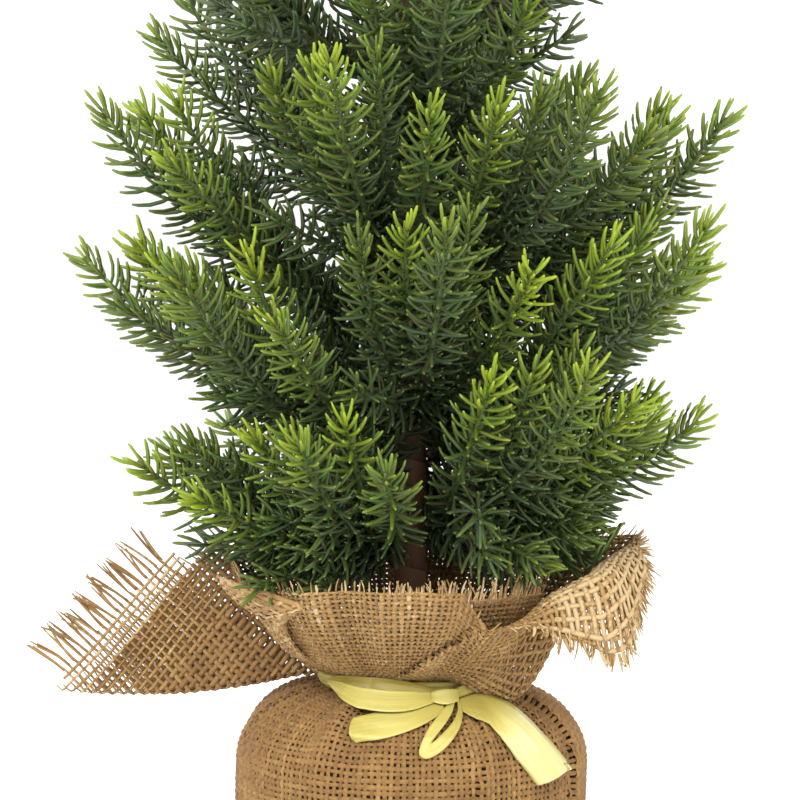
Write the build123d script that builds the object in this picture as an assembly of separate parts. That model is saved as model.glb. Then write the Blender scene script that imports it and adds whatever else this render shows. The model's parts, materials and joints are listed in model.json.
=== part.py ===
"""Artificial tabletop tree: moulded sprigs on wire branches, a taped pole and a weighted burlap base.

Millimetres, +Z up. The origin is the centre of the base's underside, and -Y is the front.
Azimuths are in degrees from +X towards +Y, so the front is 270.
"""

import math
import os
from collections import namedtuple

from build123d import *

# Overall sizes
TREE_HEIGHT = 610.0
CLOTH = 1.5  # burlap, as thick as its two crossing yarns with their nap
GAP = 0.3  # running clearance round whatever moves

# Base: the burlap sack and what it holds
SACK_RADIUS = 55.5
SACK_FOOT_RADIUS = 50.0
SHOULDER_HEIGHT = 82.0  # where the straight side turns into the rounded shoulder
NECK_RADIUS = 27.5
NECK_BOTTOM = 106.0
NECK_TOP = 112.5
POT_FOOT_RADIUS = 45.0
POT_RIM_RADIUS = 51.0
POT_HEIGHT = 70.0
POT_WALL = 1.6
BALLAST_HEIGHT = 52.0
FIT = 0.15  # gap between pieces that are cast, pushed or tied together

# Collar and corner of the burlap square
COLLAR_MID = (1.0, 43.0, 127.0)  # centre x, radius, height
RIM_CENTRE = (4.0, 0.0, 147.0)
RIM_HALF_LENGTHS = (66.0, 60.0)
RIM_TILT = 5.0  # the rim is higher on the right
CORNER_TURN = 8.0  # the free corner lies a little behind the middle
CORNER_THICKNESS = 2.0
CORNER_OUTLINE = [(-37, 113), (-74, 104), (-111, 104), (-121, 117), (-104, 140), (-86, 160), (-60, 144)]

# Trunk
POLE_RADIUS = 2.5
POLE_FOOT = 8.0
POLE_TOP = 506.0
WIRE_RADIUS = 0.9
TAPE_WALL = 0.8
TAPE_RADIUS = POLE_RADIUS + 2 * WIRE_RADIUS + 2 * FIT + TAPE_WALL
TAPE_BOTTOM = 113.0
TAIL_LENGTH = 14.0

# Branches
PIVOT_RADIUS = 1.6
PIVOT_REACH = TAPE_RADIUS + GAP + PIVOT_RADIUS
STEM_RADIUS = 1.0
STEM_SHARE = 0.42  # of the branch's length is bare wire inside its sprigs
UPWARD_CURL = 9.0  # degrees between the straight wire and the line to the branch's tip
TWIG_LENGTH = 10.0
TIP_RADII = (1.7, 1.6, 1.45, 1.2, 0.7)  # the moulded core, from its root to its point

# Side sprigs of a branch: where they leave the wire, how they turn and rise, and their length
Side = namedtuple("Side", "station turn rise length")
SIDES = [
    Side(0.10, 27.0, -3.0, 0.78),
    Side(0.13, -27.0, 5.0, 0.76),
    Side(0.27, 15.0, 15.0, 0.64),
    Side(0.30, -16.0, 11.0, 0.61),
]

# The branches, lowest first: height of the root, azimuth, and the tip's reach and height
Branch = namedtuple("Branch", "root azimuth reach tip")
BRANCHES = [
    Branch(150, 196, 92, 184),
    Branch(152, 247, 90, 197),
    Branch(157, 304, 100, 219),
    Branch(157, 352, 95, 196),
    Branch(153, 55, 95, 192),
    Branch(156, 120, 96, 198),
    Branch(192, 176, 108, 248),
    Branch(178, 226, 105, 250),
    Branch(194, 276, 103, 264),
    Branch(184, 331, 107, 262),
    Branch(180, 23, 106, 246),
    Branch(190, 95, 104, 254),
    Branch(224, 199, 104, 298),
    Branch(236, 256, 101, 315),
    Branch(227, 305, 102, 306),
    Branch(217, 351, 103, 295),
    Branch(230, 60, 102, 302),
]
# Above them smaller sprays, each moulded in one piece, climb the pole in one spiral
SPRAY_COUNT = 16
SPRAY_ROOT = 259.0
SPRAY_PITCH = 15.0
SPRAY_AZIMUTH = 140.0
GOLDEN_ANGLE = 137.5
SPRAY_REACH = (100.0, 40.0)  # of the lowest and of the highest
SPRAY_RISE = (76.0, 66.0)

# Leader: the bendable top of the tree, moulded like a spray
LEADER_PIVOT = POLE_TOP + 3.0
LEADER_STEM = 30.0
LEADER_TWIG_PITCH = 5.0
LEADER_SIDES = 4
LEADER_SIDE_LENGTH = 52.0
LEADER_SIDE_TURN = 34.0

# Raffia ribbon
RAFFIA = 1.4  # thickness of the flat ribbon where it lies on the shoulder
RAFFIA_STANDOFF = 0.8
RIBBON_WIDTH = 8.0
LOOP_DEPTH = 3.0  # the long loop's two layers
LOOP_START = 212.0
LOOP_SWEEP = 79.0
KNOT_DEPTH = 6.0
KNOT_SWEEP = 15.0
LEFT_TAIL = [(11, 103), (-6, 100), (-20, 95)]
HANGING_LOOP = [(14, 103), (8, 88)]
RIGHT_TAIL = [(18, 103), (32, 101), (49, 82)]
SHOULDER_RIBBONS = [LEFT_TAIL, HANGING_LOOP, RIGHT_TAIL]


def sprays():
    """The sprays above the branches, each a golden angle on from the last and shorter."""
    made = []
    for i in range(SPRAY_COUNT):
        up = i / (SPRAY_COUNT - 1)
        root = SPRAY_ROOT + i * SPRAY_PITCH
        reach = SPRAY_REACH[0] + up * (SPRAY_REACH[1] - SPRAY_REACH[0])
        rise = SPRAY_RISE[0] + up * (SPRAY_RISE[1] - SPRAY_RISE[0])
        made.append(Branch(root, (SPRAY_AZIMUTH + i * GOLDEN_ANGLE) % 360, reach, root + rise))
    return made


def direction(azimuth, pitch):
    """The unit vector at an azimuth and a pitch above the horizontal, in degrees."""
    a, p = math.radians(azimuth), math.radians(pitch)
    return Vector(math.cos(a) * math.cos(p), math.sin(a) * math.cos(p), math.sin(p))


def curve_through(start, heading, end, count):
    """Points and tangents of the quadratic curve that leaves start along heading and ends at end."""
    bend = start + heading * (0.45 * (end - start).length)
    made = []
    for i in range(count):
        t = i / (count - 1)
        point = start * (1 - t) ** 2 + bend * (2 * t * (1 - t)) + end * t**2
        tangent = (bend - start) * (1 - t) + (end - bend) * t
        made.append((point, tangent.normalized()))
    return made


def branch_lines(branch):
    """A branch's pivot, the end of its wire, and for each sprig the twig's start and the curve's
    start, heading and end. The terminal sprig comes first and has no twig."""
    pivot = direction(branch.azimuth, 0) * PIVOT_REACH + Vector(0, 0, branch.root)
    tip = direction(branch.azimuth, 0) * branch.reach + Vector(0, 0, branch.tip)
    length = (tip - pivot).length
    pitch = math.degrees(math.atan2(tip.Z - pivot.Z, branch.reach - PIVOT_REACH)) - UPWARD_CURL
    along = direction(branch.azimuth, pitch)
    wire_end = pivot + along * (STEM_SHARE * length)
    sprigs = [(None, wire_end, along, tip)]
    for side in SIDES:
        twig_start = pivot + along * (side.station * length)
        heading = direction(branch.azimuth + side.turn, pitch + side.rise)
        start = twig_start + heading * TWIG_LENGTH
        aim = direction(branch.azimuth + 0.8 * side.turn, pitch + side.rise + UPWARD_CURL)
        end = twig_start + aim * (side.length * length)
        sprigs.append((twig_start, start, heading, end))
    return pivot, wire_end, sprigs


def leader_lines():
    """The same for the leader, whose side sprigs stand round its wire."""
    pivot = Vector(0, 0, LEADER_PIVOT)
    up = Vector(0, 0, 1)
    wire_end = pivot + up * LEADER_STEM
    sprigs = [(None, wire_end, up, Vector(0, 0, TREE_HEIGHT))]
    for i in range(LEADER_SIDES):
        azimuth = 45.0 + i * GOLDEN_ANGLE
        twig_start = pivot + up * ((i + 1) * LEADER_TWIG_PITCH)
        heading = direction(azimuth, 90 - LEADER_SIDE_TURN)
        start = twig_start + heading * TWIG_LENGTH
        end = twig_start + direction(azimuth, 90 - LEADER_SIDE_TURN + UPWARD_CURL) * LEADER_SIDE_LENGTH
        sprigs.append((twig_start, start, heading, end))
    return pivot, wire_end, sprigs


def across(tangent):
    """A horizontal direction across a tangent, which keeps a loft's sections from twisting."""
    side = Vector(0, 0, 1).cross(tangent)
    return side.normalized() if side.length > 1e-6 else Vector(1, 0, 0)


def moulded_tip(start, heading, end):
    """One sprig's core: a tapered rod in straight lengths along its curve, as large as its stem and
    needles together."""
    stations = curve_through(start, heading, end, len(TIP_RADII))
    sections = [
        plane_along(point, tangent) * Circle(radius)
        for (point, tangent), radius in zip(stations, TIP_RADII)
    ]
    return Solid(loft(sections, ruled=True).wrapped)


def plane_along(start, line):
    """The plane at a point square to a line, with a level x direction."""
    return Plane(origin=start, x_dir=across(line), z_dir=line)


def rod(start, end, radius):
    line = end - start
    from_start = (Align.CENTER, Align.CENTER, Align.MIN)
    return plane_along(start, line) * Cylinder(radius, line.length, align=from_start)


def wire_frame(pivot, wire_end, sprigs):
    """The wire of a branch: the pinched eye at its root, the stem and one twig for each side sprig."""
    eye = plane_along(pivot, wire_end - pivot) * Sphere(PIVOT_RADIUS)
    frame = eye + rod(pivot, wire_end, STEM_RADIUS)
    for twig_start, start, _, _ in sprigs:
        if twig_start is not None:
            frame += rod(twig_start, start, WIRE_RADIUS)
    return frame


def sprig_cores(sprigs):
    return [moulded_tip(start, heading, end) for _, start, heading, end in sprigs]


def column(radius, bottom, top):
    return Pos(0, 0, bottom) * Cylinder(radius, top - bottom, align=(Align.CENTER, Align.CENTER, Align.MIN))


def moulded_spray(pivot, wire_end, sprigs):
    """A spray in one piece: its eye, stem and twigs with the sprigs' cores grown on to them."""
    spray = wire_frame(pivot, wire_end, sprigs)
    for core in sprig_cores(sprigs):
        spray += core
    return spray


def cone_frustum(bottom_radius, top_radius, bottom, top):
    return Pos(0, 0, bottom) * Cone(
        bottom_radius, top_radius, top - bottom, align=(Align.CENTER, Align.CENTER, Align.MIN)
    )


def shoulder_body(grow):
    """The sack's outer form up to its neck, grown outwards by grow."""
    centre = (NECK_RADIUS, SHOULDER_HEIGHT)
    half_width = SACK_RADIUS - NECK_RADIUS + grow
    half_height = NECK_BOTTOM - SHOULDER_HEIGHT + grow
    floor = -grow if grow < 0 else 0.0
    outline = Polyline(
        (NECK_RADIUS, SHOULDER_HEIGHT + half_height),
        (0, SHOULDER_HEIGHT + half_height),
        (0, floor),
        (SACK_FOOT_RADIUS + grow, floor),
    )
    side = ThreePointArc(
        (SACK_FOOT_RADIUS + grow, floor),
        (SACK_RADIUS - 1.6 + grow, 18.0),
        (SACK_RADIUS + grow, SHOULDER_HEIGHT),
    )
    shoulder = EllipticalCenterArc(centre, half_width, half_height, 0, arc_size=90)
    profile = Plane.XZ * make_face([*outline.edges(), side, shoulder])
    return revolve(profile, Axis.Z)


def collar_form(grow):
    """The flared collar from the neck to its tilted rim, grown outwards by grow."""
    centre_x, mid_radius, mid_height = COLLAR_MID
    rim = Plane(origin=RIM_CENTRE, z_dir=Vector(0, 0, 1).rotate(Axis.Y, -RIM_TILT))
    return loft(
        [
            Pos(0, 0, NECK_TOP) * Circle(NECK_RADIUS + grow),
            Pos(centre_x, 0, mid_height) * Circle(mid_radius + grow),
            rim * Ellipse(RIM_HALF_LENGTHS[0] + grow, RIM_HALF_LENGTHS[1] + grow),
        ]
    )


def free_corner():
    """The corner of the burlap square that stands out to the left of the collar."""
    outline = make_face(Polyline(*CORNER_OUTLINE, close=True))
    plate = extrude(Plane.XZ * outline, CORNER_THICKNESS / 2, both=True)
    return Rot(0, 0, -CORNER_TURN) * plate - collar_form(-CLOTH)


def burlap_sack():
    """The cloth round the base, up to the top of its tied neck."""
    neck = column(NECK_RADIUS, NECK_BOTTOM - 1, NECK_TOP)
    inside_neck = column(NECK_RADIUS - CLOTH, NECK_BOTTOM - 4, NECK_TOP)
    return shoulder_body(0) + neck - shoulder_body(-CLOTH) - inside_neck


def burlap_collar():
    """The same cloth above the tie: the flared collar, with the free corner on its left."""
    return collar_form(0) + free_corner() - collar_form(-CLOTH)


def pot_radius(height):
    """The pot's outer radius at a height above its own floor."""
    return POT_FOOT_RADIUS + (POT_RIM_RADIUS - POT_FOOT_RADIUS) * height / POT_HEIGHT


def inner_pot():
    foot = CLOTH + FIT
    outside = cone_frustum(POT_FOOT_RADIUS, POT_RIM_RADIUS, foot, foot + POT_HEIGHT)
    inside = cone_frustum(
        pot_radius(POT_WALL) - POT_WALL, POT_RIM_RADIUS - POT_WALL, foot + POT_WALL, foot + POT_HEIGHT
    )
    return outside - inside


def ballast():
    """The cast weight, with the pole's foot in it."""
    bottom = CLOTH + FIT + POT_WALL + FIT
    inset = POT_WALL + FIT
    weight = cone_frustum(
        pot_radius(POT_WALL) - inset, pot_radius(BALLAST_HEIGHT) - inset, bottom, bottom + BALLAST_HEIGHT
    )
    return weight - column(POLE_RADIUS + FIT, POLE_FOOT, bottom + BALLAST_HEIGHT)


def foam_dome():
    """The foam on the weight: it fills the pot's mouth, rounds the shoulder and backs the neck."""
    inset = CLOTH + 2 * FIT
    bottom = CLOTH + FIT + POT_WALL + 2 * FIT + BALLAST_HEIGHT
    pot_top = CLOTH + FIT + POT_HEIGHT
    plug_radius = pot_radius(BALLAST_HEIGHT) - POT_WALL - FIT
    plug = column(plug_radius, bottom, pot_top + 1)
    dome = shoulder_body(-inset) & column(SACK_RADIUS, pot_top + FIT, NECK_BOTTOM)
    stalk_radius = NECK_RADIUS - inset
    stalk = column(stalk_radius, NECK_BOTTOM - 6, NECK_TOP)
    bore = column(POLE_RADIUS + FIT, bottom, NECK_TOP)
    return plug + dome + stalk - bore


def pole():
    return column(POLE_RADIUS, POLE_FOOT, POLE_TOP)


def wire_tails():
    """The branch wires' tails, which run down the pole from each root under the tape."""
    reach = POLE_RADIUS + FIT + WIRE_RADIUS
    made = []
    for branch in BRANCHES + sprays():
        top = direction(branch.azimuth, 0) * reach + Vector(0, 0, branch.root)
        made.append(rod(top - Vector(0, 0, TAIL_LENGTH), top, WIRE_RADIUS))
    return made


def trunk_tape():
    """The paper tape wound over the pole and the wires, as one sleeve."""
    outside = column(TAPE_RADIUS, TAPE_BOTTOM, POLE_TOP - 2)
    inside_radius = TAPE_RADIUS - TAPE_WALL
    return outside - column(inside_radius, TAPE_BOTTOM, POLE_TOP - 2)


def ring_sector(inside, outside, start, sweep):
    """Part of a ring round the neck, between two radii, from an azimuth through an angle."""
    bottom, top = NECK_BOTTOM + RAFFIA_STANDOFF, NECK_TOP - FIT
    section = Pos((inside + outside) / 2, 0, (bottom + top) / 2) * (
        Plane.XZ * Rectangle(outside - inside, top - bottom)
    )
    return Rot(0, 0, start) * revolve(section, Axis.Z, sweep)


def shoulder_strip(route):
    """A flat strip on the sack's shoulder, along a route given as x and z seen from the front."""
    strip = None
    for (x0, z0), (x1, z1) in zip(route, route[1:]):
        length = math.hypot(x1 - x0, z1 - z0)
        turn = Rot(0, 0, math.degrees(math.atan2(z1 - z0, x1 - x0)))
        flat = Pos((x0 + x1) / 2, (z0 + z1) / 2) * turn * SlotCenterToCenter(length, RIBBON_WIDTH)
        piece = extrude(Plane.XZ * flat, 2 * SACK_RADIUS)
        strip = piece if strip is None else strip + piece
    surface = shoulder_body(RAFFIA_STANDOFF + RAFFIA) - shoulder_body(RAFFIA_STANDOFF)
    return strip & surface & column(2 * SACK_RADIUS, 0, NECK_BOTTOM)


def raffia_tie():
    """The raffia ribbon: its band round the neck, the long loop beside it, the knot over both, and the
    hanging loop and two tails, which lie together on the shoulder."""
    inside = NECK_RADIUS + FIT
    band = ring_sector(inside, inside + RAFFIA, 0, 360)
    outer = inside + RAFFIA + FIT
    long_loop = ring_sector(outer, outer + LOOP_DEPTH, LOOP_START, LOOP_SWEEP)
    knot = ring_sector(outer, outer + KNOT_DEPTH, LOOP_START + LOOP_SWEEP + 1, KNOT_SWEEP)
    hanging = shoulder_strip(SHOULDER_RIBBONS[0])
    for route in SHOULDER_RIBBONS[1:]:
        hanging += shoulder_strip(route)
    return [band, long_loop, knot, hanging]


def write(name, shape):
    """Writes one node's solids, as one solid or as a group."""
    if isinstance(shape, list):
        shape = Compound(children=shape)
    shape.label = name
    export_step(shape, os.path.join("parts", name + ".step"))


def main():
    os.makedirs("parts", exist_ok=True)
    write("burlap_sack", burlap_sack())
    write("burlap_collar", burlap_collar())
    write("inner_pot", inner_pot())
    write("ballast", ballast())
    write("foam_dome", foam_dome())
    write("pole", pole())
    write("wire_tails", wire_tails())
    write("trunk_tape", trunk_tape())
    write("raffia_tie", raffia_tie())
    for i, branch in enumerate(BRANCHES, start=1):
        write(f"branch_{i:02d}_wire", wire_frame(*branch_lines(branch)))
        write(f"branch_{i:02d}_sprigs", sprig_cores(branch_lines(branch)[-1]))
    for i, spray in enumerate(sprays(), start=1):
        write(f"spray_{i:02d}", moulded_spray(*branch_lines(spray)))
    write("leader", moulded_spray(*leader_lines()))


if __name__ == "__main__":
    main()
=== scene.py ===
"""Looks of the artificial tabletop tree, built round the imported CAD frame.

Metres, +Z up, -Y is the front. Azimuths are in degrees from +X towards +Y, so the front is 270.
Every branch's needles grow from the same rule as its CAD sprigs: the joint gives the root and the
CAD mesh the tip.
"""

import json
import math

import bpy
import numpy as np
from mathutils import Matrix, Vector


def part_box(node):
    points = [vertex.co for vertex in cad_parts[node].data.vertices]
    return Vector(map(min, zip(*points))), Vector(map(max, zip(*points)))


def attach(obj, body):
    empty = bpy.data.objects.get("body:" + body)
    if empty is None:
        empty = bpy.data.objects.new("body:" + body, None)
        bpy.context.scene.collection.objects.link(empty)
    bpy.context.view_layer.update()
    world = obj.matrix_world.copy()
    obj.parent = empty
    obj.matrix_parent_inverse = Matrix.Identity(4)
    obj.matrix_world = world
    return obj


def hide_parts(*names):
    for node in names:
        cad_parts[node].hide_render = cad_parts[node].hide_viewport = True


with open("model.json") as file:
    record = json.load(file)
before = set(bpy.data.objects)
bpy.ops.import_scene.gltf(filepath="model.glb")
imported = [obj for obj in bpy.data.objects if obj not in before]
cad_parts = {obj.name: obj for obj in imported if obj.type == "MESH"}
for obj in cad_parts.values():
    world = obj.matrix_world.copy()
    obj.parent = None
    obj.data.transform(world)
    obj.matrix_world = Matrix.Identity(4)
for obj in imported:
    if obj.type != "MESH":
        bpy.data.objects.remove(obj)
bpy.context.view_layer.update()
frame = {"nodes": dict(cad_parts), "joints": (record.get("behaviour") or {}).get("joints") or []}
random = np.random.default_rng(7)

# The camera's view: what it looks at, how wide that is, and from how far
VIEW_CENTRE = np.array([-0.0033, 0.0, 0.2013])
VIEW_WIDTH = 0.264
VIEW_DISTANCE = 1.3
VIEW_ELEVATION = 6.0
SENSOR = 36.0

# Sprigs, repeated from the CAD rule: station, turn and rise in degrees, and length as a share
SIDE_SPRIGS = [
    (0.10, 27.0, -3.0, 0.78),
    (0.13, -27.0, 5.0, 0.76),
    (0.27, 15.0, 15.0, 0.64),
    (0.30, -16.0, 11.0, 0.61),
]
STEM_SHARE = 0.42
UPWARD_CURL = 9.0
TWIG_LENGTH = 0.010
WIRE_EYE = 0.0016
STEM_RADIUS = 0.0010
TWIG_RADIUS = 0.0009
CURVE_PULL = 0.45
LEADER_STEM = 0.030
LEADER_TWIG_PITCH = 0.005
LEADER_SIDES = 4
LEADER_SIDE_LENGTH = 0.052
LEADER_SIDE_TURN = 34.0
LEADER_FIRST_AZIMUTH = 45.0
GOLDEN_ANGLE = 137.5

# Small shoots inside the tree, on every branch's wire: station, turn and rise in degrees, and length
INNER_SHOOTS = [
    (0.02, 64.0, 22.0, 0.047),
    (0.04, -60.0, 34.0, 0.045),
    (0.14, 40.0, -22.0, 0.050),
    (0.17, -42.0, -16.0, 0.048),
    (0.02, 8.0, 46.0, 0.056),
    (0.33, 34.0, 30.0, 0.040),
    (0.35, -34.0, 26.0, 0.040),
]
# The lowest branches carry some more, which fill the collar: these rise from the horizontal instead
SKIRT_SHOOTS = [
    (0.01, 30.0, 6.0, 0.060),
    (0.02, -30.0, 4.0, 0.058),
    (0.05, 2.0, -3.0, 0.056),
    (0.02, 46.0, -10.0, 0.052),
    (0.03, -44.0, -12.0, 0.052),
    (0.09, 16.0, -12.0, 0.048),
    (0.11, -15.0, -10.0, 0.048),
    (0.25, 24.0, 4.0, 0.040),
    (0.27, -22.0, 2.0, 0.040),
]
LOWEST_ROOT = 0.160
SKIRT_REACH = 0.056  # how far from the trunk's axis their ends may be; the collar is wider on the right
SKIRT_FLOOR = 0.141  # and how low; the free corner keeps them higher
RIGHT_REACH = 0.008
RIGHT_FLOOR = 0.135
CORNER_SIDE = -0.030
CORNER_FLOOR = 0.156
TRUNK_GAP = 0.012  # half the width of the gap through which the trunk's foot is seen, and its top
TRUNK_GAP_TOP = 0.190

# Needles
NEEDLE_SPACING = 0.00080  # along a sprig's stem, from one needle to the next
NEEDLE_LENGTH = 0.0136
NEEDLE_RADIUS = 0.00064
HEADING_STEP = 0.002  # how far before and behind a needle's root its stem's direction is taken
TIP_SPREAD = 0.0016  # what lies this near a CAD node's furthest corner counts as its tip


def unit(v):
    v = np.asarray(v, float)
    return v / np.linalg.norm(v, axis=-1, keepdims=True)


def direction(azimuth, pitch):
    """The unit vector at an azimuth and a pitch above the horizontal, in degrees."""
    a, p = math.radians(azimuth), math.radians(pitch)
    return np.array([math.cos(a) * math.cos(p), math.sin(a) * math.cos(p), math.sin(p)])


def smooth(t):
    t = np.clip(t, 0.0, 1.0)
    return t * t * (3 - 2 * t)


# ---------------------------------------------------------------- meshes


def new_piece(name, points, polygons, attributes=None):
    """A smooth mesh object from points and lists of polygons of equal size, with point attributes."""
    mesh = bpy.data.meshes.new(name)
    points = np.asarray(points, np.float32)
    mesh.vertices.add(len(points))
    mesh.vertices.foreach_set("co", points.ravel())
    corners = np.concatenate([p.ravel() for p in polygons]).astype(np.int32)
    totals = np.concatenate([np.full(len(p), p.shape[1], np.int32) for p in polygons])
    starts = np.concatenate([[0], np.cumsum(totals)[:-1]]).astype(np.int32)
    mesh.loops.add(len(corners))
    mesh.loops.foreach_set("vertex_index", corners)
    mesh.polygons.add(len(totals))
    mesh.polygons.foreach_set("loop_start", starts)
    mesh.polygons.foreach_set("loop_total", totals)
    mesh.update(calc_edges=True)
    mesh.shade_smooth()
    for key, values in (attributes or {}).items():
        layer = mesh.attributes.new(key, "FLOAT", "POINT")
        layer.data.foreach_set("value", np.asarray(values, np.float32))
    obj = bpy.data.objects.new(name, mesh)
    bpy.context.scene.collection.objects.link(obj)
    return obj


class Bundle:
    """Tubes gathered into one mesh."""

    def __init__(self):
        self.points, self.quads, self.fans, self.values = [], [], [], {}
        self.count = 0

    def strips(self, paths, half_widths, normals, arch, **values):
        """n open strips of k rows, three points wide and arched, that face along their normals."""
        n, k = paths.shape[:2]
        tangent = unit(np.gradient(paths, axis=1))
        across = unit(np.cross(normals, tangent)) * half_widths[..., None]
        upward = unit(normals) * (half_widths * arch)[..., None]
        rows = np.stack([paths - across - upward, paths + upward, paths + across - upward], axis=2)
        i, j = np.meshgrid(np.arange(k - 1), np.arange(2), indexing="ij")
        a = i * 3 + j
        quad = np.stack([a, a + 3, a + 4, a + 1], axis=-1).reshape(-1, 4)
        offset = self.count + np.arange(n)[:, None, None] * (3 * k)
        self.points.append(rows.reshape(-1, 3))
        self.quads.append((quad[None] + offset).reshape(-1, 4))
        for key, value in values.items():
            value = np.broadcast_to(np.asarray(value, float), (n, k))
            self.values.setdefault(key, []).append(np.repeat(value, 3, axis=1).ravel())
        self.count += n * k * 3

    def add(self, paths, radii, sides=4, across=None, flat=1.0, **values):
        """paths (n, k, 3) with radii (n, k): n tubes of k rings, closed to a point at both ends.
        across (n, k, 3) is the wide direction of a flat tube, whose thickness is flat times its width."""
        n, k = paths.shape[:2]
        tangent = unit(np.gradient(paths, axis=1))
        if across is None:
            helper = np.where(np.abs(tangent[..., 2:]) < 0.9, [0.0, 0.0, 1.0], [1.0, 0.0, 0.0])
            across = unit(np.cross(helper, tangent))
        upward = unit(np.cross(tangent, across))
        across = np.cross(upward, tangent)
        angle = np.arange(sides) * 2 * math.pi / sides
        ring = (
            across[:, :, None] * np.cos(angle)[None, None, :, None]
            + upward[:, :, None] * (np.sin(angle) * flat)[None, None, :, None]
        )
        body = paths[:, :, None] + ring * radii[:, :, None, None]
        ends = np.stack([paths[:, 0], paths[:, -1]], axis=1)
        points = np.concatenate([body.reshape(n, k * sides, 3), ends], axis=1)
        per = k * sides + 2
        i, j = np.meshgrid(np.arange(k - 1), np.arange(sides), indexing="ij")
        a, b = i * sides + j, i * sides + (j + 1) % sides
        quad = np.stack([a, b, b + sides, a + sides], axis=-1).reshape(-1, 4)
        s = np.arange(sides)
        low = np.stack([np.full(sides, k * sides), (s + 1) % sides, s], axis=-1)
        last = (k - 1) * sides
        high = np.stack([np.full(sides, k * sides + 1), last + s, last + (s + 1) % sides], axis=-1)
        fan = np.concatenate([low, high])
        offset = self.count + np.arange(n)[:, None, None] * per
        self.points.append(points.reshape(-1, 3))
        self.quads.append((quad[None] + offset).reshape(-1, 4))
        self.fans.append((fan[None] + offset).reshape(-1, 3))
        for key, value in values.items():
            value = np.broadcast_to(np.asarray(value, float), (n, k)) if np.ndim(value) < 2 else value
            spread = np.repeat(value, sides, axis=1)
            spread = np.concatenate([spread, value[:, :1], value[:, -1:]], axis=1)
            self.values.setdefault(key, []).append(spread.ravel())
        self.count += n * per

    def piece(self, name):
        values = {key: np.concatenate(parts) for key, parts in self.values.items()}
        return new_piece(
            name,
            np.concatenate(self.points),
            [np.concatenate(parts) for parts in (self.quads, self.fans) if parts],
            values,
        )


# ---------------------------------------------------------------- the cloth's outline

# The sack repeats the CAD's outline, from the foot to the neck. The CAD's collar is a plain flare, and
# the one here is shaped further
sack_low, sack_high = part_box("burlap_sack")
SACK_RADIUS = sack_high.x
NECK_TOP = sack_high.z
FOOT_RADIUS = 0.050
SHOULDER_HEIGHT = 0.082
NECK_RADIUS = 0.0275
NECK_BOTTOM = 0.106
RIM_CENTRE_X = 0.004

# The collar's shape at some azimuths: radius and height of its belly, its top and its edge, in metres.
# Between about 310 and 345 the edge is folded over and hangs down.
COLLAR_STATIONS = [
    (0, (0.047, 0.123), (0.066, 0.150), (0.072, 0.157)),
    (30, (0.044, 0.124), (0.060, 0.145), (0.064, 0.152)),
    (60, (0.043, 0.125), (0.057, 0.144), (0.060, 0.151)),
    (90, (0.043, 0.125), (0.056, 0.142), (0.059, 0.149)),
    (120, (0.043, 0.125), (0.057, 0.142), (0.060, 0.149)),
    (150, (0.044, 0.124), (0.058, 0.141), (0.061, 0.148)),
    (185, (0.044, 0.122), (0.059, 0.138), (0.063, 0.145)),
    (215, (0.044, 0.121), (0.060, 0.137), (0.063, 0.144)),
    (245, (0.043, 0.122), (0.059, 0.139), (0.062, 0.147)),
    (268, (0.043, 0.123), (0.058, 0.140), (0.061, 0.148)),
    (282, (0.043, 0.123), (0.058, 0.139), (0.061, 0.147)),
    (291, (0.042, 0.120), (0.054, 0.130), (0.058, 0.134)),
    (300, (0.044, 0.120), (0.059, 0.136), (0.063, 0.134)),
    (310, (0.046, 0.119), (0.063, 0.142), (0.068, 0.128)),
    (322, (0.047, 0.118), (0.066, 0.147), (0.073, 0.120)),
    (334, (0.048, 0.119), (0.068, 0.151), (0.078, 0.130)),
    (346, (0.048, 0.121), (0.069, 0.153), (0.079, 0.146)),
]


def collar_table():
    table = [(a, *belly, *top, *edge) for a, belly, top, edge in COLLAR_STATIONS]
    before = [(row[0] - 360, *row[1:]) for row in table[-3:]]
    after = [(row[0] + 360, *row[1:]) for row in table[:3]]
    return np.array(before + table + after)


COLLAR_TABLE = collar_table()


def collar_values(azimuth, count):
    """The first values of COLLAR_TABLE at azimuths."""
    return [np.interp(azimuth, COLLAR_TABLE[:, 0], COLLAR_TABLE[:, i + 1]) for i in range(count)]


CLOTH_ROOM = 0.003  # how far above the collar's inside the lowest needles lie
CLOTH_LAYERS = 0.92  # the inner layer lies inside the collar: its radius as a share of the collar's
OVER_THE_RIM = 0.014


def above_cloth(points):
    """Points raised where they would lie in or under the collar. Past its rim they may hang."""
    x, y = points[..., 0] - RIM_CENTRE_X, points[..., 1]
    radius = np.hypot(x, y) / CLOTH_LAYERS
    azimuth = np.degrees(np.arctan2(y, x)) % 360
    belly_r, belly_z, top_r, top_z = collar_values(azimuth, 4)
    lower = np.clip((radius - NECK_RADIUS) / (belly_r - NECK_RADIUS), 0.0, 1.0)
    upper = np.clip((radius - belly_r) / (top_r - belly_r), 0.0, 1.25)
    floor = NECK_TOP + lower * (belly_z - NECK_TOP) + upper * (top_z - belly_z) + CLOTH_ROOM
    floor = np.where(radius < top_r + OVER_THE_RIM, floor, 0.0)
    raised = points.copy()
    raised[..., 2] = np.maximum(points[..., 2], floor)
    return raised


# ---------------------------------------------------------------- sprigs


def sprig_curve(start, heading, end, t):
    """Points on the quadratic curve that leaves start along heading and ends at end."""
    bend = start + heading * (CURVE_PULL * np.linalg.norm(end - start))
    t = np.asarray(t, float)[:, None]
    return start * (1 - t) ** 2 + bend * 2 * t * (1 - t) + end * t**2


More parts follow.
